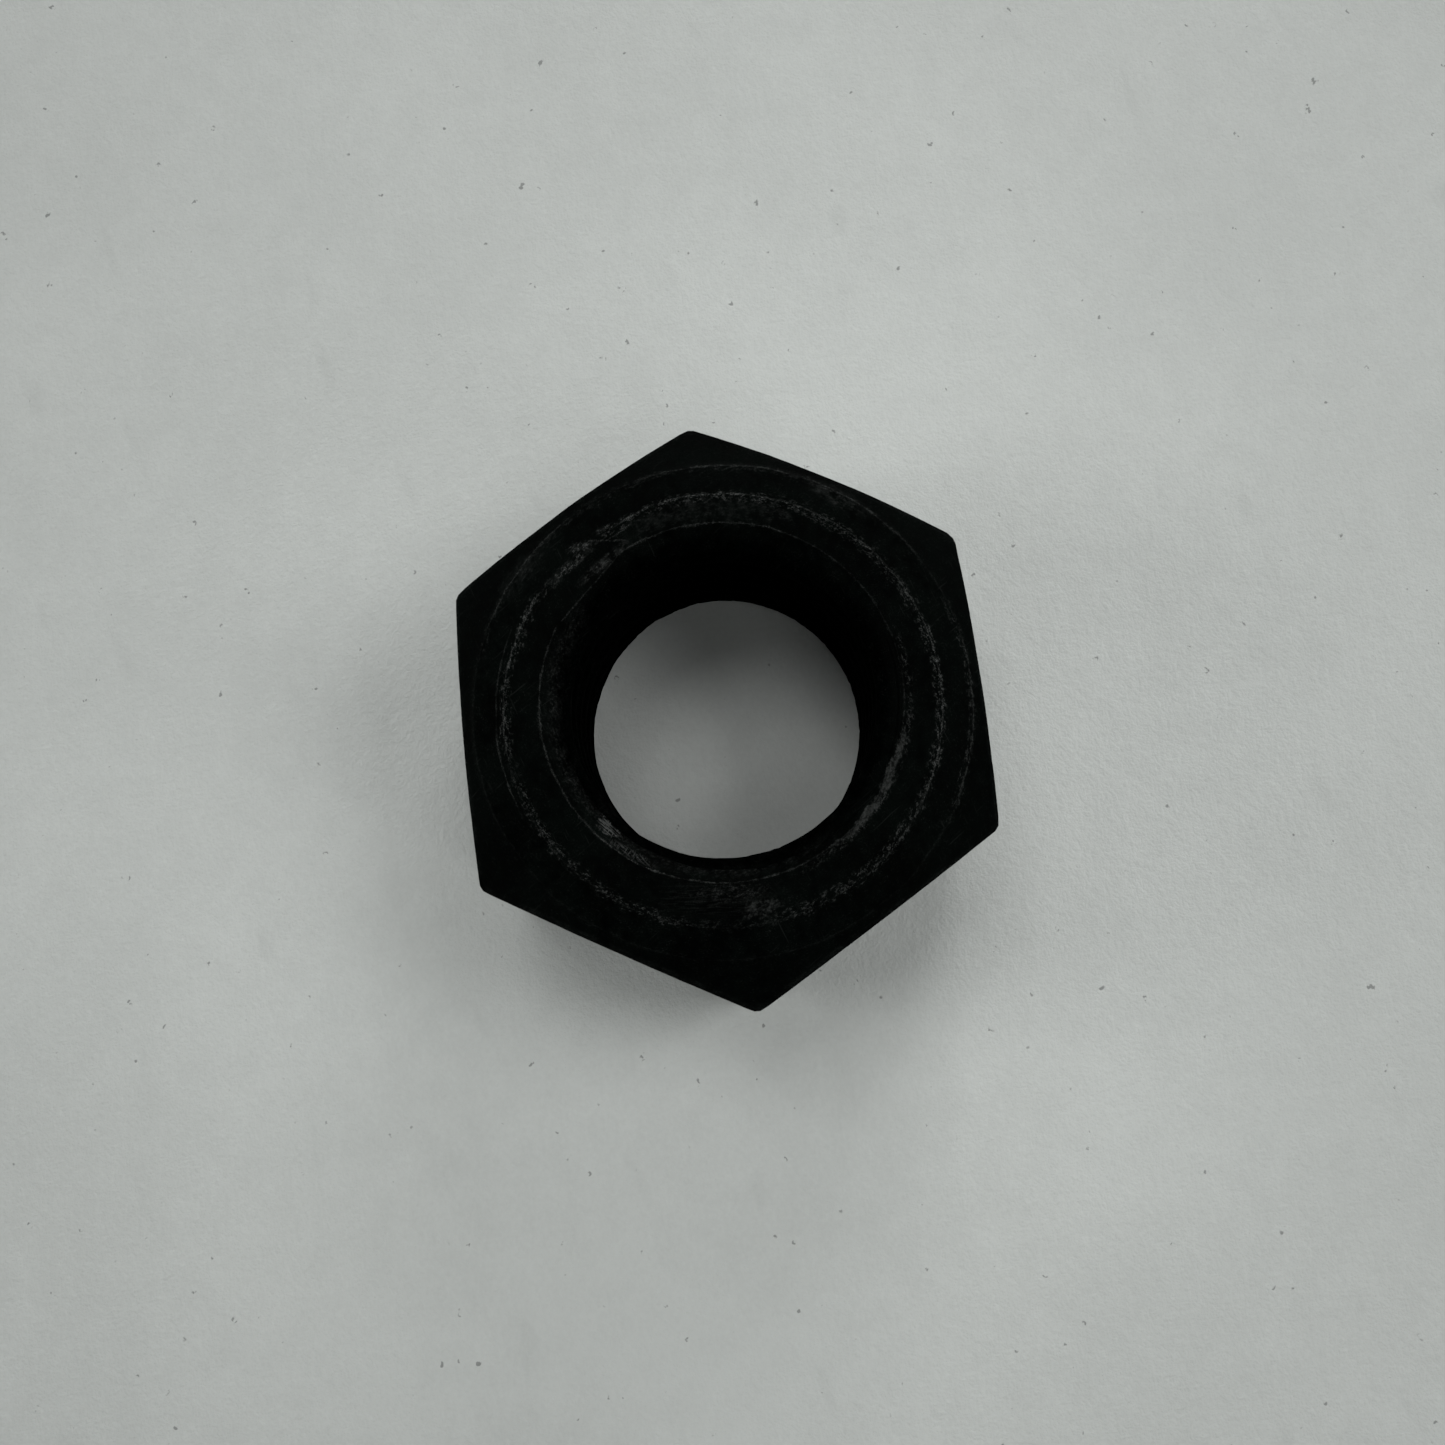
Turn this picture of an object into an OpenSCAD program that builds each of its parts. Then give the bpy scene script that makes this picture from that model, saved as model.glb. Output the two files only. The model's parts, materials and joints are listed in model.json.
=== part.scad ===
// Hexagon nut with a right-hand metric thread, forged and chamfered on both faces.
// One solid piece. The origin is where the thread's axis meets the lower bearing face, with +Z up the thread.

/* [Hexagon] */
// Distance across two opposite flats
across_flats = 35.6; // [35:0.1:36]
// Height from the lower bearing face to the upper one
nut_height = 19; // [18:0.1:22]
// Rounding radius of the six upright corners
corner_r = 0.8; // [0.4:0.1:1.5]
// Straight steps in the rounding of one corner
corner_steps = 6; // [3:1:10]
// How far the hexagon's centre sits off the thread's axis, along +X
hexagon_offset = 0.45; // [0:0.05:0.6]

/* [Bearing faces] */
// Diameter of the flat ring that bears on a washer
face_d = 29.7; // [28:0.1:31]
// Diameter where the shallow crown ends and the corner chamfer begins
crown_d = 34; // [33:0.1:34.6]
// How far the crown drops between those two diameters
crown_drop = 0.4; // [0.1:0.05:0.8]
// Angle of the corner chamfer below the bearing face
chamfer_deg = 30; // [20:1:35]

/* [Thread] */
// Nominal thread diameter, at the root of the groove
thread_d = 24; // [24:0.05:24.3]
// Axial distance from one turn to the next
thread_pitch = 3; // [2:0.5:3]
// Diameter of the bore that the thread's crests leave
crest_d = 21.25; // [20.8:0.05:21.9]
// Flank angle of the thread, measured from a plane across the axis
flank_deg = 30; // [29:1:30]
// Straight segments in one turn of the thread
turn_steps = 48; // [24:4:48]

/* [Countersinks] */
// Mouth diameter of the countersink in each face
mouth_d = 24.7; // [24.4:0.1:25.9]
// Included angle of each countersink
mouth_deg = 120; // [90:5:130]

/* [Hidden] */
$fn = 96;
// Overshoot of a cutting shape past the surface that it cuts
over = 1;
face_r = face_d / 2;
crown_r = crown_d / 2;
crest_r = crest_d / 2;
root_r = thread_d / 2;
mouth_r = mouth_d / 2;
// The sharp hexagon's corners lie at this radius, and the arcs that round them are centred a little inside it
sharp_r = across_flats / 2 / cos(30);
arc_centre_r = (across_flats / 2 - corner_r) / cos(30);
// The chamfer is drawn out past the sharp corners
chamfer_r = sharp_r + over;
chamfer_drop = crown_drop + (chamfer_r - crown_r) * tan(chamfer_deg);
// Slope of a countersink's wall, as depth over radius
mouth_slope = 1 / tan(mouth_deg / 2);
// The groove's flat root is an eighth of the pitch wide, and its flanks open towards the axis.
// Its section reaches a little way into the empty bore.
root_half = thread_pitch / 16;
reach_in = 0.3;
inner_r = crest_r - reach_in;
inner_half = root_half + (root_r - inner_r) * tan(flank_deg);
// The groove starts and ends in the open, past both faces
run_out = thread_pitch;
groove_turns = (nut_height + 2 * run_out) / thread_pitch;
groove_steps = ceil(groove_turns * turn_steps);
steel = [0.17, 0.18, 0.18];

// Outline with straight flats and round corners, one corner on +X, each corner's arc drawn in short straight steps
function hexagon_outline() = [
    for (corner = [0:60:300], step = [0:corner_steps])
        let (turn = corner - 30 + 60 * step / corner_steps)
        arc_centre_r * [cos(corner), sin(corner)] + corner_r * [cos(turn), sin(turn)]
];

// Upright hexagonal bar
module hexagon_bar() {
    linear_extrude(height = nut_height)
        polygon(hexagon_outline());
}

// Solid of revolution that holds both bearing faces, their crowns and the corner chamfers
module face_form() {
    rotate_extrude()
        polygon([
            [0, 0],
            [face_r, 0],
            [crown_r, crown_drop],
            [chamfer_r, chamfer_drop],
            [chamfer_r, nut_height - chamfer_drop],
            [crown_r, nut_height - crown_drop],
            [face_r, nut_height],
            [0, nut_height]
        ]);
}

// Countersink that widens downwards and ends past the lower face
module countersink() {
    wide_r = mouth_r + over / mouth_slope;
    translate([0, 0, -over])
        cylinder(r1 = wide_r, r2 = 0, h = wide_r * mouth_slope);
}

// Corners of the thread groove's section at one step along the helix
function groove_section(step) =
    let (turn = step / turn_steps, z = turn * thread_pitch - run_out)
    [
        for (p = [[inner_r, -inner_half], [root_r, -root_half], [root_r, root_half], [inner_r, inner_half]])
            [p[0] * cos(360 * turn), p[0] * sin(360 * turn), z + p[1]]
    ];

// Right-hand helical groove, as one closed sweep of its four-sided section
module thread_groove() {
    points = [for (step = [0:groove_steps]) each groove_section(step)];
    last = 4 * groove_steps;
    sides = [
        for (step = [0:groove_steps - 1], k = [0:3])
            let (a = 4 * step + k, b = 4 * step + (k + 1) % 4)
            each [[a, b + 4, a + 4], [a, b, b + 4]]
    ];
    ends = [[2, 1, 0], [3, 2, 0], [last, last + 1, last + 2], [last, last + 2, last + 3]];
    polyhedron(points = points, faces = concat(sides, ends));
}

// The whole nut: a hexagonal bar between two turned faces, drilled, countersunk and tapped
module hex_nut() {
    color(steel)
        difference() {
            translate([hexagon_offset, 0, 0])
                intersection() {
                    hexagon_bar();
                    face_form();
                }
            translate([0, 0, -over])
                cylinder(r = crest_r, h = nut_height + 2 * over);
            countersink();
            translate([0, 0, nut_height])
                mirror([0, 0, 1])
                    countersink();
            thread_groove();
        }
}

hex_nut();
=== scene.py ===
"""Hexagon nut in worn black oxide steel, on a pale studio floor.

The nut is one piece. Its visual mesh is swept round the thread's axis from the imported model's own sizes, with
soft forged edges, a real helical thread and small dents, and it stands for the CAD node hex_nut.
"""

import json
import math

import bpy
import numpy as np
from mathutils import Matrix, Vector, noise


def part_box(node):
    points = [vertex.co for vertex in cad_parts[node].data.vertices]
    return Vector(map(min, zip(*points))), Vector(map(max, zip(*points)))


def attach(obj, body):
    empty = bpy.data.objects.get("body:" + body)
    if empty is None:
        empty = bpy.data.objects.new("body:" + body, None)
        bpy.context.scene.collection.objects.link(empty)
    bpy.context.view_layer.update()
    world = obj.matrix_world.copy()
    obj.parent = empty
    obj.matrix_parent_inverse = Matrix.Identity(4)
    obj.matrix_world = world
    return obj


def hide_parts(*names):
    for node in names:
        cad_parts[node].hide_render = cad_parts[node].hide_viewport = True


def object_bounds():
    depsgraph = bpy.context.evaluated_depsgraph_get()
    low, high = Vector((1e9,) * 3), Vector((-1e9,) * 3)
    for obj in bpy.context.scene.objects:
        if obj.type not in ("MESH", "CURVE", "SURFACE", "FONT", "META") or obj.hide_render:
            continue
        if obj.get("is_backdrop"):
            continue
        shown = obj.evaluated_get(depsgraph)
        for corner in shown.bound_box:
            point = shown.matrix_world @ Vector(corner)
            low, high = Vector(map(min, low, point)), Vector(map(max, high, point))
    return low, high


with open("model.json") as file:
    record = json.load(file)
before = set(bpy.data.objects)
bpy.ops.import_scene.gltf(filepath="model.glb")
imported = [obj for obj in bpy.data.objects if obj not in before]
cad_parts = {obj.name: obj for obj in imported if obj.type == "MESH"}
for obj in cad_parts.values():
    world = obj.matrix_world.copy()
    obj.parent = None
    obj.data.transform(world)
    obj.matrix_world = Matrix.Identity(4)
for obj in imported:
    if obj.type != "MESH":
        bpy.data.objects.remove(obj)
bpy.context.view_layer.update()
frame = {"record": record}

MM = 0.001


# ---------------------------------------------------------------- sizes, in millimetres and degrees

node_low, node_high = (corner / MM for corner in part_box("hex_nut"))
mounts = {mount["name"]: mount for mount in frame["record"]["mounts"]}
HEIGHT = node_high.z
HALF_FLATS = (node_high.y - node_low.y) / 2
HEX_X = (node_low.x + node_high.x) / 2
CORNER_R = (node_high.x - node_low.x) / 2
CREST_R = mounts["thread"]["dims"]["r_mm"]
MOUTH_DEPTH = (HEIGHT - mounts["thread"]["dims"]["length_mm"]) / 2
ROOT_R = 12.0
PITCH = 3.0
MOUTH_SLOPE = math.tan(math.radians(60))
MOUTH_R = CREST_R + MOUTH_DEPTH * MOUTH_SLOPE
FACE_R = 14.85
CROWN_R = 17.0
CROWN_DROP = 0.4
CHAMFER_SLOPE = math.tan(math.radians(30))

# Forging leaves each flat a little off its place and angle, and each corner with its own roundness.
# Flats and corners are counted anticlockwise from +X, the first flat at 30 degrees and the first corner at 0.
FLAT_SETBACK = [-0.08, 0.05, -0.02, -0.06, -0.05, -0.14]
FLAT_TURN = [0.5, 0.8, 0.4, 0.0, -0.3, 0.0]
CORNER_ROUNDING = [0.9, 0.8, 1.1, 0.8, 0.9, 0.7]

# Directions from the axis. A knock has flattened a stretch of the upper mouth. Beside it the flat ring's edge
# leans in, and the wear along that edge breaks off.
KNOCK_DEG = 223.5
KNOCK_HALF_DEG = 16
STEP_DEG = 214
STEP_HALF_DEG = 16
STEP_IN = 0.3
BREAK_DEG = 210.5

# How softly the thread's root, its crest and the countersink's edge turn into their neighbours
ROOT_BLEND = 0.12
CREST_BLEND = 0.1
MOUTH_BLEND = 0.06

# How far the steel wanders from its true shape: broad and short waves outside, waves and tears in the bore,
# and nicks on the rims
BROAD_WAVE = 0.03
SHORT_WAVE = 0.012
CREST_WAVE = 0.03
CREST_TEAR = 0.12
RIM_NICK = 0.14
# The nicks end this far from the face, and the bore's waves this far out from the axis
NICK_REACH = 0.6
BORE_LIMIT_R = MOUTH_R - 1.2

# Mesh density
COLUMNS_PER_SIXTH = 50
CORNER_SHARE = 0.3
CORNER_POWER = 5
FLAT_POWER = 1.25
BEND_STEPS = 4
BORE_ROWS = 196

# Colours, and how much of a mirror the oxide is
OXIDE = (0.0006, 0.0011, 0.00085)
BARE_STEEL = (0.085, 0.089, 0.086)
METALLIC = 0.35
SPECULAR = 0.012

# The stage, with its lengths in metres
FLOOR_ALBEDO = 0.63
FLOOR_TINT = (0.96, 1.0, 0.965)
FLOOR_LIGHT = 0.512
LIGHT_DISTANCE = 0.6
FLOOR_RADIUS = 0.4
FLOOR_SIDES = 180
FLOOR_GAP = 0.01 * MM


# ---------------------------------------------------------------- mesh of the nut


def column_angles():
    """Angles of the mesh's columns, closer together at the six corners."""
    even = np.linspace(-1, 1, COLUMNS_PER_SIXTH, endpoint=False) + 1 / COLUMNS_PER_SIXTH
    eased = even * (1 - CORNER_SHARE) + CORNER_SHARE * np.sign(even) * np.abs(even) ** CORNER_POWER
    sixth = 30 + 30 * np.sign(eased) * (1 - (1 - np.abs(eased)) ** FLAT_POWER)
    return np.radians(np.concatenate([sixth + 60 * k for k in range(6)]))


def hexagon_radius(angles):
    """Radius of the rounded, slightly uneven hexagon about its own centre."""
    facings = [math.radians(30 + 60 * k + turn) for k, turn in enumerate(FLAT_TURN)]
    normals = [np.array([math.cos(facing), math.sin(facing)]) for facing in facings]
    distances = [HALF_FLATS - setback for setback in FLAT_SETBACK]
    rays = np.stack([np.cos(angles), np.sin(angles)], axis=1)
    toward = np.stack([rays @ normal for normal in normals], axis=1)
    # A flat never bounds a ray that it hardly faces
    least = 0.3
    radius = np.min(np.where(toward > least, np.array(distances) / np.maximum(toward, least), np.inf), axis=1)
    for corner in range(6):
        before, after = (corner - 1) % 6, corner
        rounding = CORNER_ROUNDING[corner]
        sides = np.array([normals[before], normals[after]])
        centre = np.linalg.solve(sides, np.array([distances[before], distances[after]]) - rounding)
        ends = centre + rounding * sides
        bisector = centre / np.linalg.norm(centre)
        span = [math.atan2(np.cross(bisector, end), bisector @ end) for end in ends]
        turn = np.arctan2(np.cross(bisector, rays), rays @ bisector)
        along = rays @ centre
        arc = along + np.sqrt(np.maximum(rounding**2 - centre @ centre + along**2, 0))
        radius = np.where((turn > span[0]) & (turn < span[1]), arc, radius)
    return radius


def ring(angles, radius, height, centre_x):
    """One closed row of points."""
    x = centre_x + radius * np.cos(angles)
    y = radius * np.sin(angles)
    return np.stack([x, y, np.broadcast_to(height, angles.shape)], axis=1)


def smooth_max(a, b, blend):
    return np.maximum(a, b) + np.maximum(blend - np.abs(a - b), 0) ** 2 / (4 * blend)


def turn_from(angles, degrees):
    """How far each angle is from a direction in degrees, either way, in radians."""
    return np.abs((angles - math.radians(degrees) + math.pi) % (2 * math.pi) - math.pi)


def upper_mouth_radius(angles):
    """Radius of the upper mouth, round but for one flat stretch, where a knock has pushed the lip in."""
    off = turn_from(angles, KNOCK_DEG)
    half = math.radians(KNOCK_HALF_DEG)
    flat = MOUTH_R * math.cos(half) / np.maximum(np.cos(off), 0.5)
    return np.where(off < half, np.minimum(flat, MOUTH_R), MOUTH_R)


def upper_face_radius(angles):
    """Radius of the upper flat ring's edge, which leans in beside the knock."""
    off = turn_from(angles, STEP_DEG)
    return FACE_R - STEP_IN * np.clip(1 - off / math.radians(STEP_HALF_DEG), 0, 1)


def bore_radius(angles, height):
    """Radius of the tapped and countersunk bore at one height, all the way round."""
    root_half = PITCH / 16
    flank = math.tan(math.radians(60))
    from_groove = (height - PITCH * angles / (2 * math.pi) + PITCH / 2) % PITCH - PITCH / 2
    groove = -smooth_max(-ROOT_R, -(ROOT_R - (np.abs(from_groove) - root_half) * flank), ROOT_BLEND)
    thread = smooth_max(groove, CREST_R, CREST_BLEND)
    mouth = upper_mouth_radius(angles) if height > HEIGHT / 2 else MOUTH_R
    from_face = min(height, HEIGHT - height)
    return smooth_max(thread, mouth - from_face * MOUTH_SLOPE, MOUTH_BLEND)


def straight(start, end, steps):
    return [start + (end - start) * k / steps for k in range(1, steps)]


def bend(before, corner, after, reach):
    """Points that round the edge at corner, starting and ending reach away from it."""
    start = corner + (before - corner) * (reach / np.linalg.norm(before - corner, axis=1, keepdims=True))
    end = corner + (after - corner) * (reach / np.linalg.norm(after - corner, axis=1, keepdims=True))
    points = []
    for k in range(BEND_STEPS + 1):
        t = k / BEND_STEPS
        points.append((1 - t) ** 2 * start + 2 * t * (1 - t) * corner + t**2 * end)
    return points


def outer_rows(angles):
    """Rows from the upper mouth, over the upper face, down the flats and under to the lower mouth."""
    hexagon = hexagon_radius(angles)
    drop = CROWN_DROP + (hexagon - CROWN_R) * CHAMFER_SLOPE
    lip = 0.12
    upper_mouth = upper_mouth_radius(angles)
    below_mouth = ring(angles, upper_mouth - lip * MOUTH_SLOPE, HEIGHT - lip, 0)
    above_mouth = ring(angles, MOUTH_R - lip * MOUTH_SLOPE, lip, 0)
    # Each edge has its points, how far its rounding reaches, and the steps across the surface that follows it
    edges = [
        (below_mouth, 0, 0),
        (ring(angles, upper_mouth, HEIGHT, 0), 0.1, 9),
        (ring(angles, upper_face_radius(angles), HEIGHT, HEX_X), 0.12, 7),
        (ring(angles, CROWN_R, HEIGHT - CROWN_DROP, HEX_X), 0.15, 9),
        (ring(angles, hexagon, HEIGHT - drop, HEX_X), 0.22, 26),
        (ring(angles, hexagon, drop, HEX_X), 0.22, 9),
        (ring(angles, CROWN_R, CROWN_DROP, HEX_X), 0.15, 7),
        (ring(angles, FACE_R, 0, HEX_X), 0.12, 9),
        (ring(angles, MOUTH_R, 0, 0), 0.1, 0),
        (above_mouth, 0, 0),
    ]
    rows = []
    for (before, _, _), (corner, reach, steps), (after, _, _) in zip(edges, edges[1:], edges[2:]):
        rounded = bend(before, corner, after, reach)
        if rows:
            rows += straight(rows[-1], rounded[0], steps_before)
        rows += rounded
        steps_before = steps
    return rows


def bore_rows(angles, first, last):
    """Rows up the bore between two heights, both left out."""
    rows = []
    for k in range(1, BORE_ROWS):
        height = first + (last - first) * k / BORE_ROWS
        rows.append(ring(angles, bore_radius(angles, height), height, 0))
    return rows


def nut_grid():
    """All the nut's points, in rows that close on themselves both ways."""
    angles = column_angles()
    rows = outer_rows(angles)
    first, last = rows[-1][0, 2], rows[0][0, 2]
    return np.array(rows + bore_rows(angles, first, last))


def grid_mesh(name, grid):
    """A closed mesh from a grid of points whose rows and columns both wrap round."""
    rows, columns = grid.shape[:2]
    index = np.arange(rows * columns).reshape(rows, columns)
    right = np.roll(index, -1, axis=1)
    corners = [index, np.roll(index, -1, axis=0), np.roll(right, -1, axis=0), right]
    quads = np.stack(corners, axis=2).reshape(-1, 4)
    mesh = bpy.data.meshes.new(name)
    mesh.from_pydata((grid.reshape(-1, 3) * MM).tolist(), [], quads.tolist())
    mesh.polygons.foreach_set("use_smooth", [True] * len(mesh.polygons))
    mesh.update()
    return mesh


def waves(at, per_mm, height):
    """Smooth noise with about per_mm waves to a millimetre, up to height either way."""
    return noise.noise(at * per_mm) * height


def pits(at, per_mm, depth, least):
    """Only those waves that rise past least, scaled by depth."""
    return max(0.0, noise.noise(at * per_mm) - least) * depth


def near_rim(radius, rim, width):
    """1 at the rim's radius, falling off over width on both sides."""
    return math.exp(-(((radius - rim) / width) ** 2))


def inner_shift(at):
    """How far a point of the bore moves out of the steel. A tear moves it in."""
    return -(waves(at, 0.8, CREST_WAVE) + pits(at, 2.2, CREST_TEAR, 0.1))


def outer_shift(at):
    """How far a point of the faces and sides moves out of the steel. Nicks are on the rims of both faces."""
    face_rim = near_rim(math.hypot(at.x - HEX_X, at.y), FACE_R, 0.3)
    mouth_rim = near_rim(math.hypot(at.x, at.y), MOUTH_R, 0.25)
    nicked = max(face_rim, mouth_rim) * max(0.0, 1 - min(at.z, HEIGHT - at.z) / NICK_REACH)
    wave = waves(at, 0.22, BROAD_WAVE) + waves(at, 0.9, SHORT_WAVE)
    return wave - pits(at, 1.9, RIM_NICK, 0.12) * nicked


def roughen(mesh):
    """Moves every point a little along its normal, for the unevenness of forged and tapped steel."""
    normals = [vertex.normal.copy() for vertex in mesh.vertices]
    for vertex, normal in zip(mesh.vertices, normals):
        at = vertex.co / MM
        in_bore = math.hypot(at.x, at.y) < BORE_LIMIT_R
        shift = inner_shift(at) if in_bore else outer_shift(at)
        vertex.co = vertex.co + normal * (shift * MM)


def make_nut():
    mesh = grid_mesh("hex_nut_surface", nut_grid())
    roughen(mesh)
    nut = bpy.data.objects.new("hex_nut_worn", mesh)
    bpy.context.scene.collection.objects.link(nut)
    return nut


# ---------------------------------------------------------------- shader tools


class Field:
    """A shader value. Arithmetic on it adds Math nodes."""

    def __init__(self, tree, socket):
        self.tree, self.socket = tree, socket

    def math(self, operation, *others):
        node = self.tree.nodes.new("ShaderNodeMath")
        node.operation = operation
        for slot, value in zip(node.inputs, (self, *others)):
            plug(self.tree, slot, value)
        return Field(self.tree, node.outputs[0])

    def __add__(self, other):
        return self.math("ADD", other)

    def __sub__(self, other):
        return self.math("SUBTRACT", other)

    def __mul__(self, other):
        return self.math("MULTIPLY", other)

    def __abs__(self):
        return self.math("ABSOLUTE")

    def most(self, *others):
        """The largest of this value and the others."""
        largest = self
        for other in others:
            largest = largest.math("MAXIMUM", other)
        return largest

    def ramp(self, low, high, start=0.0, end=1.0):
        """Smoothly from start at low to end at high."""
        node = self.tree.nodes.new("ShaderNodeMapRange")
        node.interpolation_type = "SMOOTHSTEP"
        for slot, value in zip(node.inputs, (self, low, high, start, end)):
            plug(self.tree, slot, value)
        return Field(self.tree, node.outputs[0])


def plug(tree, slot, value):
    if isinstance(value, Field):
        tree.links.new(value.socket, slot)
    else:
        slot.default_value = value


def new_material(name):
    material = bpy.data.materials.new(name)
    material.use_nodes = True
    tree = material.node_tree
    return material, tree, tree.nodes["Principled BSDF"]


def position(tree):
    """Object coordinates in millimetres."""
    coordinates = tree.nodes.new("ShaderNodeTexCoord")
    scaled = tree.nodes.new("ShaderNodeVectorMath")
    scaled.operation = "SCALE"
    scaled.inputs["Scale"].default_value = 1 / MM
    tree.links.new(coordinates.outputs["Object"], scaled.inputs[0])
    return scaled.outputs[0]


def split(tree, vector):
    node = tree.nodes.new("ShaderNodeSeparateXYZ")
    tree.links.new(vector, node.inputs[0])
    return [Field(tree, output) for output in node.outputs]


def joined(tree, x, y, z):
    node = tree.nodes.new("ShaderNodeCombineXYZ")
    for slot, value in zip(node.inputs, (x, y, z)):
        plug(tree, slot, value)
    return node.outputs[0]


def distance(x, y):
    return (x * x + y * y).math("SQRT")


def grain(tree, vector, scale, detail=2.0, roughness=0.5):
    """Noise from about 0.25 to 0.75, with scale features to a millimetre."""
    node = tree.nodes.new("ShaderNodeTexNoise")
    node.inputs["Scale"].default_value = scale
    node.inputs["Detail"].default_value = detail
    node.inputs["Roughness"].default_value = roughness
    tree.links.new(vector, node.inputs["Vector"])
    return Field(tree, node.outputs["Fac"])


def scratches(tree, vector, turn, length, width, low, high):
    """Thin streaks in the direction turn, from noise stretched that way. Higher limits leave fewer."""
    mapping = tree.nodes.new("ShaderNodeMapping")
    mapping.vector_type = "TEXTURE"
    mapping.inputs["Rotation"].default_value = (0, 0, math.radians(turn))
    mapping.inputs["Scale"].default_value = (length, width, length)
    tree.links.new(vector, mapping.inputs["Vector"])
    return grain(tree, mapping.outputs[0], 1.0, 1.0).ramp(low, high)


def colour_mix(tree, factor, dark, light, clamp=False):
    """A colour from dark at 0 to light at 1. The dark end may be another shader colour."""
    node = tree.nodes.new("ShaderNodeMix")
    node.data_type = "RGBA"
    node.clamp_factor = clamp
    first, second = (socket for socket in node.inputs if socket.type == "RGBA")
    plug(tree, node.inputs[0], factor)
    if isinstance(dark, bpy.types.NodeSocket):
        tree.links.new(dark, first)
    else:
        first.default_value = (*dark, 1)
    second.default_value = (*light, 1)
    return next(socket for socket in node.outputs if socket.type == "RGBA")


def bump(tree, height, strength, depth):
    node = tree.nodes.new("ShaderNodeBump")
    node.inputs["Strength"].default_value = strength
    node.inputs["Distance"].default_value = depth
    plug(tree, node.inputs["Height"], height)
    return node.outputs[0]


# ---------------------------------------------------------------- the nut's worn oxide


class NutSurface:
    """Places on the nut, the grain of its wear, and masks for its marks. Lengths are in millimetres.

    in_r is the distance from the thread's axis, and out_r the one from the hexagon's centre.
    """

    def __init__(self, tree):
        self.tree = tree
        self.at = position(tree)
        self.x, self.y, self.z = split(tree, self.at)
        self.out_x = self.x - HEX_X
        self.out_r = distance(self.out_x, self.y)
        self.in_r = distance(self.x, self.y)
        self.from_face = abs(self.z - HEIGHT / 2) * -1 + HEIGHT / 2

        swept = self.along_rings()
        self.drift = grain(tree, self.at, 0.4) - 0.5
        self.patches = grain(tree, self.at, 0.25, 3.0)
        self.medium = grain(tree, self.at, 1.2, 3.0, 0.6)
        self.fine = grain(tree, swept, 5.5, 4.0, 0.75)
        self.tiny = grain(tree, swept, 15.0, 2.0, 0.7)

        # Textures of the marks: bright grains, soft smears, wear that comes and goes, and a broken line
        self.beads = self.fine.ramp(0.49, 0.62) * self.tiny.ramp(0.4, 0.58, 0.1, 1.15)
        self.smear = (self.medium * 0.5 + self.fine * 0.5).ramp(0.4, 0.66)
        self.uneven = (self.patches * 0.4 + self.medium * 0.6).ramp(0.34, 0.62, 0.12, 1.0)
        broken = self.tiny.ramp(0.4, 0.6, 0.15, 1.1) * self.fine.ramp(0.4, 0.55, 0.4, 1.1)
        self.scratchy = broken * self.uneven
        # Half the width of a thin worn line
        self.thin = self.medium.ramp(0.35, 0.65, 0.05, 0.12)

    def along_rings(self):
        """Coordinates laid out along the rings, as wear runs round them. Their two ends meet at the break."""
        turn = math.radians(BREAK_DEG)
        seam_x = self.out_x * math.cos(turn) + self.y * math.sin(turn)
        seam_y = self.y * math.cos(turn) - self.out_x * math.sin(turn)
        round_ring = (seam_y * -1.0).math("ARCTAN2", seam_x * -1.0) * FACE_R
        return joined(self.tree, round_ring * 0.55, self.out_r + round_ring * 0.12, self.z)

    def sector(self, centre, half, fade=12):
        """1 within half degrees of the direction centre, fading out over fade degrees more."""
        turn = math.radians(centre)
        facing = (self.out_x * math.cos(turn) + self.y * math.sin(turn)).math("DIVIDE", self.out_r)
        return facing.ramp(math.cos(math.radians(half + fade)), math.cos(math.radians(half)))

    def rim(self, radius, at_mm, half_width, wander=0.3):
        """1 on a ring that wanders a little, fading out over half_width on both sides."""
        return abs(radius - at_mm + self.drift * wander).ramp(0, half_width, 1.0, 0.0)

    def patch(self, radius, direction, long, short, turn):
        """A soft oval patch at a radius and direction from the thread's axis, long in the direction turn."""
        px, py = radius * math.cos(math.radians(direction)), radius * math.sin(math.radians(direction))
        c, s = math.cos(math.radians(turn)), math.sin(math.radians(turn))
        u = ((self.x - px) * c + (self.y - py) * s) * (1 / long)
        v = ((self.y - py) * c - (self.x - px) * s) * (1 / short)
        return distance(u, v).ramp(0.1, 1.0, 1.0, 0.0)

    def streaks(self, turn, length, width, low, high):
        return scratches(self.tree, self.at, turn, length, width, low, high)

    def ragged(self, mask):
        """The mask with its soft edge broken up into islands."""
        broken = (mask + (self.medium - 0.5) * 1.6 + (self.fine - 0.5) * 1.2).ramp(0.4, 0.95)
        return broken * mask.ramp(0.0, 0.3)

    def mouth_radius(self):
        """Radius of the mouth's rim, with the knocked stretch straight."""
        turn = math.radians(KNOCK_DEG)
        along = (self.x * math.cos(turn) + self.y * math.sin(turn)).math("DIVIDE", self.in_r)
        past_round = along * (1 / math.cos(math.radians(KNOCK_HALF_DEG)))
        return past_round.most(1.0).math("POWER", -1.0) * MOUTH_R

    def hexagon_edge(self, near, far):
        """1 within near of the edge between a chamfered face and a flat, fading out at far."""
        facings = [math.radians(degrees) for degrees in (30, 90, 150)]
        across = [abs(self.out_x * math.cos(turn) + self.y * math.sin(turn)) for turn in facings]
        near_flat = across[0].most(*across[1:]).ramp(HALF_FLATS - 0.35, HALF_FLATS - 0.15)
        edge_depth = (self.out_r - CROWN_R) * CHAMFER_SLOPE + CROWN_DROP
        return near_flat * abs(self.from_face - edge_depth).ramp(near, far, 1.0, 0.0)


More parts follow.
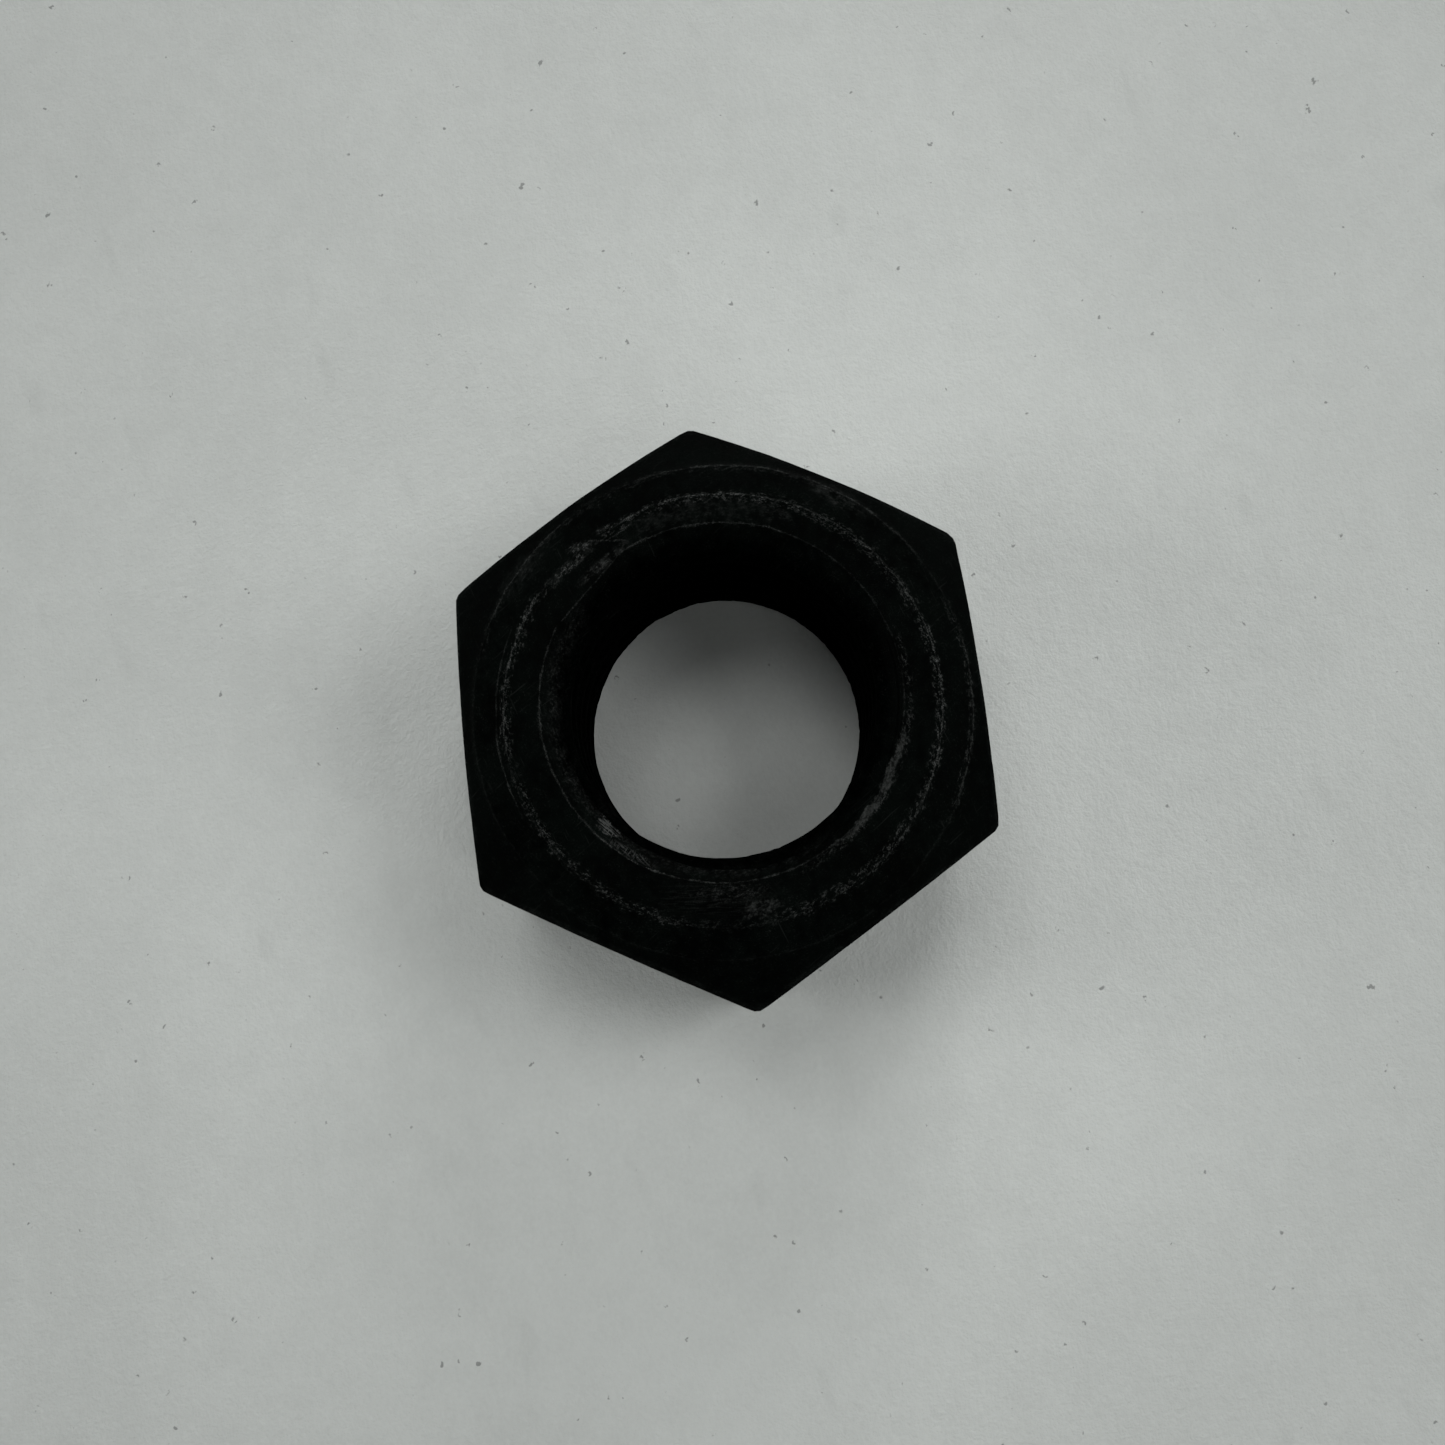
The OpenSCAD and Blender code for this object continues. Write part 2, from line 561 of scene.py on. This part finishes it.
# Each function below gives a list of marks, from 0 for sound oxide to 1 for bare steel. Directions are in
# degrees from +X, a sector's seen from the hexagon's centre and a patch's from the thread's axis.


def face_marks(steel):
    """Beads, dust and thin lines along the flat ring's edge."""
    radius = steel.out_r + steel.sector(STEP_DEG, 3, 18) * 0.33
    worn = (steel.sector(83, 18) * 0.75).most(
        steel.sector(253, 16) * 0.6,
        steel.sector(185, 20) * 0.6,
        steel.sector(140, 26) * 0.42,
    )
    worn = (worn + 0.22) * (steel.sector(BREAK_DEG, 1.2, 2) * -0.95 + 1.0)
    dusty = worn.most(steel.sector(40, 26) * 0.8, steel.sector(312, 24) * 0.8)
    return [
        steel.rim(radius, FACE_R - 0.03, steel.uneven * 0.24 + 0.06) * steel.beads * worn * 0.95,
        steel.ragged(steel.rim(radius, FACE_R - 0.15, 0.8)) * steel.beads * dusty * 0.46,
        steel.rim(radius, FACE_R, steel.thin, 0.15) * steel.scratchy * worn * 0.55,
        steel.rim(radius, FACE_R + 0.5, steel.thin, 0.25) * steel.scratchy * steel.sector(268, 16) * 0.32,
    ]


def mouth_marks(steel):
    """A thin line and beads on the mouth's rim, and dust on the countersink inside it."""
    radius = steel.mouth_radius()
    worn = steel.sector(10, 40, 20).most(steel.sector(265, 25, 20), steel.sector(185, 26, 14)) * 0.16
    worn = worn + steel.sector(322, 8, 8) * 0.3 + 0.22
    dusty = steel.rim(steel.in_r, CREST_R + 0.8, 0.9, 0.5) * steel.sector(312, 72, 20)
    return [
        steel.rim(steel.in_r, radius, steel.thin, 0.15) * steel.scratchy * worn,
        steel.rim(steel.in_r, radius, steel.uneven * 0.16 + 0.05, 0.25) * steel.beads * worn * 0.8,
        dusty * steel.smear * (steel.beads * 0.16 + 0.05),
    ]


def crown_marks(steel):
    """A thin line, beads and dust where the crown meets the chamfer."""
    worn = steel.sector(165, 24).most(steel.sector(140, 8), steel.sector(80, 12), steel.sector(228, 8))
    worn = worn * 0.3 + 0.08
    dusty = steel.sector(82, 20).most(steel.sector(180, 32) * 0.6, steel.sector(232, 14) * 0.5)
    return [
        steel.rim(steel.out_r, CROWN_R, steel.thin * 1.2) * steel.scratchy * worn,
        steel.rim(steel.out_r, CROWN_R, steel.uneven * 0.2 + 0.06, 0.4) * steel.beads * worn * 0.8,
        steel.ragged(steel.rim(steel.out_r, CROWN_R - 0.1, 0.6, 0.5)) * dusty * steel.beads * 0.22,
    ]


def mouth_band(steel):
    """A broad rubbed band on the mouth's rim."""
    soft = steel.ragged(steel.rim(steel.in_r, MOUTH_R + 0.1, 0.6) * steel.sector(56, 10, 20))
    grainy = steel.rim(steel.in_r, MOUTH_R + 0.4, 0.35, 0.6) * steel.sector(62, 34, 16)
    return [soft * (steel.smear * 0.32 + steel.beads * 0.12 + 0.04), grainy * steel.beads * 0.34]


def cone_hatch(steel):
    """Crossed scratches in the upper countersink."""
    along = steel.streaks(turn=40, length=1.1, width=0.1, low=0.5, high=0.62)
    across = steel.streaks(turn=-35, length=0.9, width=0.1, low=0.55, high=0.65)
    hatch = along.most(across)
    core = steel.patch(radius=11.4, direction=312.5, long=1.8, short=1.1, turn=44)
    tail = steel.patch(radius=12.0, direction=323, long=2.6, short=0.4, turn=54)
    return [
        steel.ragged(core) * (hatch * 0.62 + steel.beads * 0.4),
        tail * (hatch * 0.3 + steel.beads * 0.3),
    ]


def knock_marks(steel):
    """Smears beside the knock, where the wear along the ring's edge breaks off."""
    ring_ends = steel.patch(radius=14.0, direction=222, long=3.4, short=0.5, turn=127).most(
        steel.patch(radius=14.4, direction=216, long=1.3, short=0.55, turn=95),
        steel.patch(radius=14.35, direction=207, long=1.3, short=0.3, turn=108),
    )
    smears = steel.patch(radius=12.5, direction=214, long=3.2, short=0.5, turn=126).most(
        steel.patch(radius=13.7, direction=209.5, long=2.2, short=0.14, turn=84)
    )
    return [
        ring_ends * (steel.beads * 0.5 + steel.smear * 0.12) * 1.3,
        smears * (steel.beads * 0.22 + steel.smear * 0.16) * 1.3,
    ]


def face_haze(steel):
    """Dull grey patches on the upper face."""
    back = steel.ragged(steel.rim(steel.in_r, 13.5, 1.8) * steel.sector(178, 18, 12))
    front = steel.patch(radius=13.0, direction=356, long=4.2, short=1.0, turn=86)
    blotch = steel.ragged(steel.patch(radius=14.3, direction=4, long=2.4, short=1.1, turn=100))
    left = steel.patch(radius=16.5, direction=230.5, long=3.6, short=1.3, turn=133)
    right = steel.patch(radius=16.3, direction=144, long=3.2, short=1.0, turn=54) * 2.0
    rubbed = steel.patch(radius=13.3, direction=352, long=6.0, short=1.7, turn=84)
    rubbed = rubbed * steel.streaks(turn=84, length=1.2, width=0.13, low=0.5, high=0.62)
    return [
        back * (steel.smear * 0.055 + steel.beads * 0.05),
        front * (steel.beads * 0.2 + steel.smear * 0.06),
        blotch * (steel.smear * 0.2 + steel.beads * 0.12),
        left.most(right) * steel.smear * (steel.beads * 0.1 + 0.07),
        rubbed * steel.tiny.ramp(0.4, 0.6, 0.2, 1.0) * (steel.smear * 0.5 + 0.5) * 0.14,
    ]


def marks_all_over(steel):
    """Scuffs and specks on every side, and faint wear on the hexagon's edges and corners."""
    long_scuffs = steel.streaks(turn=20, length=2.6, width=0.12, low=0.69, high=0.78)
    short_scuffs = steel.streaks(turn=-55, length=2.2, width=0.1, low=0.67, high=0.76)
    scuffs = (long_scuffs * steel.patches.ramp(0.46, 0.6)).most(short_scuffs * steel.patches.ramp(0.5, 0.6))
    return [
        scuffs * 0.07,
        steel.tiny.ramp(0.54, 0.74) * steel.smear * 0.15,
        steel.hexagon_edge(0.05, 0.3) * steel.scratchy * 0.08,
        steel.out_r.ramp(CORNER_R - 0.7, CORNER_R) * steel.smear * 0.05,
    ]


def strongest(marks):
    return marks[0].most(*marks[1:])


def worn_oxide():
    """Black oxide on steel, rubbed grey in thin rings, specks and patches."""
    material, tree, shader = new_material("worn_black_oxide")
    steel = NutSurface(tree)
    on_face = steel.from_face.ramp(0.2, 1.6, 1.0, 0.0)
    on_top = steel.z.ramp(HEIGHT * 0.4, HEIGHT * 0.6)
    ring_marks = strongest(face_marks(steel) + mouth_marks(steel) + crown_marks(steel))
    top_marks = strongest(mouth_band(steel) + cone_hatch(steel) + knock_marks(steel) + face_haze(steel))
    wear = (ring_marks.most(top_marks * on_top) * on_face).most(*marks_all_over(steel))

    # The oxide's colour is darkened in the bore as painted shade, and the oxide is duller in the bore and along
    # the edges of the flats
    out_of_bore = (CREST_R + 0.4, CREST_R + 1.4)
    mottle = (steel.patches * 0.5 + steel.medium * 0.5).ramp(0.35, 0.65, 0.5, 1.9)
    # Painted shade: inside the bore the oxide's colour falls to 0.3 of itself
    oxide_with_bore_shade = colour_mix(tree, mottle * steel.in_r.ramp(*out_of_bore, 0.3, 1.0), (0, 0, 0), OXIDE)
    gloss = steel.in_r.ramp(*out_of_bore, 0.02, 1.0) * (steel.hexagon_edge(0.2, 0.6) * -0.7 + 1.0)
    tree.links.new(colour_mix(tree, wear, oxide_with_bore_shade, BARE_STEEL, clamp=True), shader.inputs["Base Color"])

    # The chamfers and flats are left as forged, rougher than the turned faces
    as_forged = steel.out_r.ramp(CROWN_R, CROWN_R + 0.4)
    plug(tree, shader.inputs["Roughness"], steel.medium.ramp(0.3, 0.7, 0.45, 0.65) + as_forged * 0.2)
    plug(tree, shader.inputs["Metallic"], gloss * METALLIC)
    plug(tree, shader.inputs["Specular IOR Level"], gloss * SPECULAR)
    tree.links.new(bump(tree, steel.medium + steel.fine * 0.3, 0.35, 0.12 * MM), shader.inputs["Normal"])
    return material


# ---------------------------------------------------------------- stage, light and camera


def pale_floor():
    """Plain pale grey paper, painted a little darker away from the nut as light falloff, with fine grain, faint
    smudges and specks.
    """
    material, tree, shader = new_material("pale_floor")
    at = position(tree)
    away = distance(*split(tree, at)[:2])
    cloud = grain(tree, at, 0.03, 3.0) * 0.5 + grain(tree, at, 0.4, 2.0) * 0.2
    cloud = cloud + grain(tree, at, 2.2, 3.0, 0.7) * 0.3
    specks = grain(tree, at, 0.8, 1.0).ramp(0.72, 0.76) * grain(tree, at, 2.6, 1.0).ramp(0.5, 0.6)
    smudges = scratches(tree, at, 15, 9.0, 3.0, 0.66, 0.8)
    # Painted light falloff: the tone falls to 0.79 of itself from 10 to 100 mm out from the nut. The cloud,
    # specks and smudges are the paper's own
    tone_with_light_falloff = cloud.ramp(0.3, 0.7, 0.93, 1.07) * away.ramp(10, 100, 1.0, 0.79) * (specks * -0.5 + 1.0)
    tone_with_light_falloff = tone_with_light_falloff * (smudges * -0.05 + 1.0)
    paper = [FLOOR_ALBEDO * tint for tint in FLOOR_TINT]
    tree.links.new(colour_mix(tree, tone_with_light_falloff, (0, 0, 0), paper), shader.inputs["Base Color"])
    shader.inputs["Roughness"].default_value = 0.7
    shader.inputs["Specular IOR Level"].default_value = 0.2
    leather = grain(tree, at, 1.5, 2.0, 0.5) * 0.6 + grain(tree, at, 4.5, 2.0, 0.6) * 0.4
    tree.links.new(bump(tree, leather, 0.5, 0.25 * MM), shader.inputs["Normal"])
    return material


def look(eye, target, up):
    """A placement at eye that looks at target, with up towards the top of the picture."""
    back = (eye - target).normalized()
    right = up.cross(back).normalized()
    turn = Matrix((right, back.cross(right), back)).transposed().to_4x4()
    return Matrix.Translation(eye) @ turn


def make_stage(level):
    """A round floor, just below the given level, that ends inside the ring of softboxes."""
    mesh = bpy.data.meshes.new("floor")
    turns = np.linspace(0, 2 * math.pi, FLOOR_SIDES, endpoint=False)
    rim = [(FLOOR_RADIUS * math.cos(turn), FLOOR_RADIUS * math.sin(turn), 0) for turn in turns]
    mesh.from_pydata(rim, [], [tuple(range(FLOOR_SIDES))])
    floor = bpy.data.objects.new("floor", mesh)
    floor.location.z = level - FLOOR_GAP
    bpy.context.scene.collection.objects.link(floor)
    floor.data.materials.append(pale_floor())
    floor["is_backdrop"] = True


def soft_light(name, azimuth, elevation, side, share):
    """A softbox that faces the nut and gives the given share of the floor's light there."""
    data = bpy.data.lights.new(name, "AREA")
    data.shape = "SQUARE"
    data.size = side
    lift, turn = math.radians(elevation), math.radians(azimuth)
    arm = Vector((math.cos(turn) * math.cos(lift), math.sin(turn) * math.cos(lift), math.sin(lift)))
    data.energy = share * FLOOR_LIGHT * (math.pi * LIGHT_DISTANCE) ** 2 / (FLOOR_ALBEDO * math.sin(lift))
    light = bpy.data.objects.new(name, data)
    light.matrix_world = look(arm * LIGHT_DISTANCE, Vector(), Vector((0, 0, 1)))
    light.visible_camera = False
    bpy.context.scene.collection.objects.link(light)


def make_lights():
    soft_light("back_softbox", 200, 66, 0.24, 0.255)
    soft_light("front_top_softbox", 20, 68, 0.24, 0.065)
    soft_light("right_softbox", 96, 50, 0.26, 0.275)
    soft_light("low_back_softbox", 160, 22, 0.24, 0.168)
    soft_light("left_softbox", 265, 22, 0.24, 0.135)
    soft_light("low_right_softbox", 52, 22, 0.24, 0.07)
    soft_light("front_fill", 335, 16, 0.3, 0.015)
    bpy.context.scene.world = studio_walls()


def studio_walls():
    """Pale walls low down all round, dim overhead."""
    world = bpy.data.worlds.new("studio")
    world.use_nodes = True
    tree = world.node_tree
    direction = tree.nodes.new("ShaderNodeTexCoord").outputs["Generated"]
    height = split(tree, direction)[2]
    background = tree.nodes["Background"]
    background.inputs["Color"].default_value = (0.95, 1.0, 0.97, 1)
    plug(tree, background.inputs["Strength"], height.ramp(0.05, 0.35, 0.4, 0.06))
    return world


def make_camera(top):
    """Nearly straight above, as a phone held over the nut, leaning a little towards +X."""
    data = bpy.data.cameras.new("camera")
    data.sensor_width = 36
    data.lens = 34.7
    data.clip_start = 0.005
    camera = bpy.data.objects.new("camera", data)
    eye = top + Vector((15.0, 0.3, 93.0)) * MM
    target = top + Vector((1.6, -0.1, 0)) * MM
    camera.matrix_world = look(eye, target, Vector((-0.983, 0.115, 0.141)))
    bpy.context.scene.collection.objects.link(camera)
    bpy.context.scene.camera = camera


nut = make_nut()
nut.data.materials.append(worn_oxide())
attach(nut, "root")
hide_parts("hex_nut")

upper_face = Vector((0, 0, HEIGHT * MM))
make_stage(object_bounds()[0][2])
make_lights()
make_camera(upper_face)
bpy.context.scene.view_settings.view_transform = "Standard"
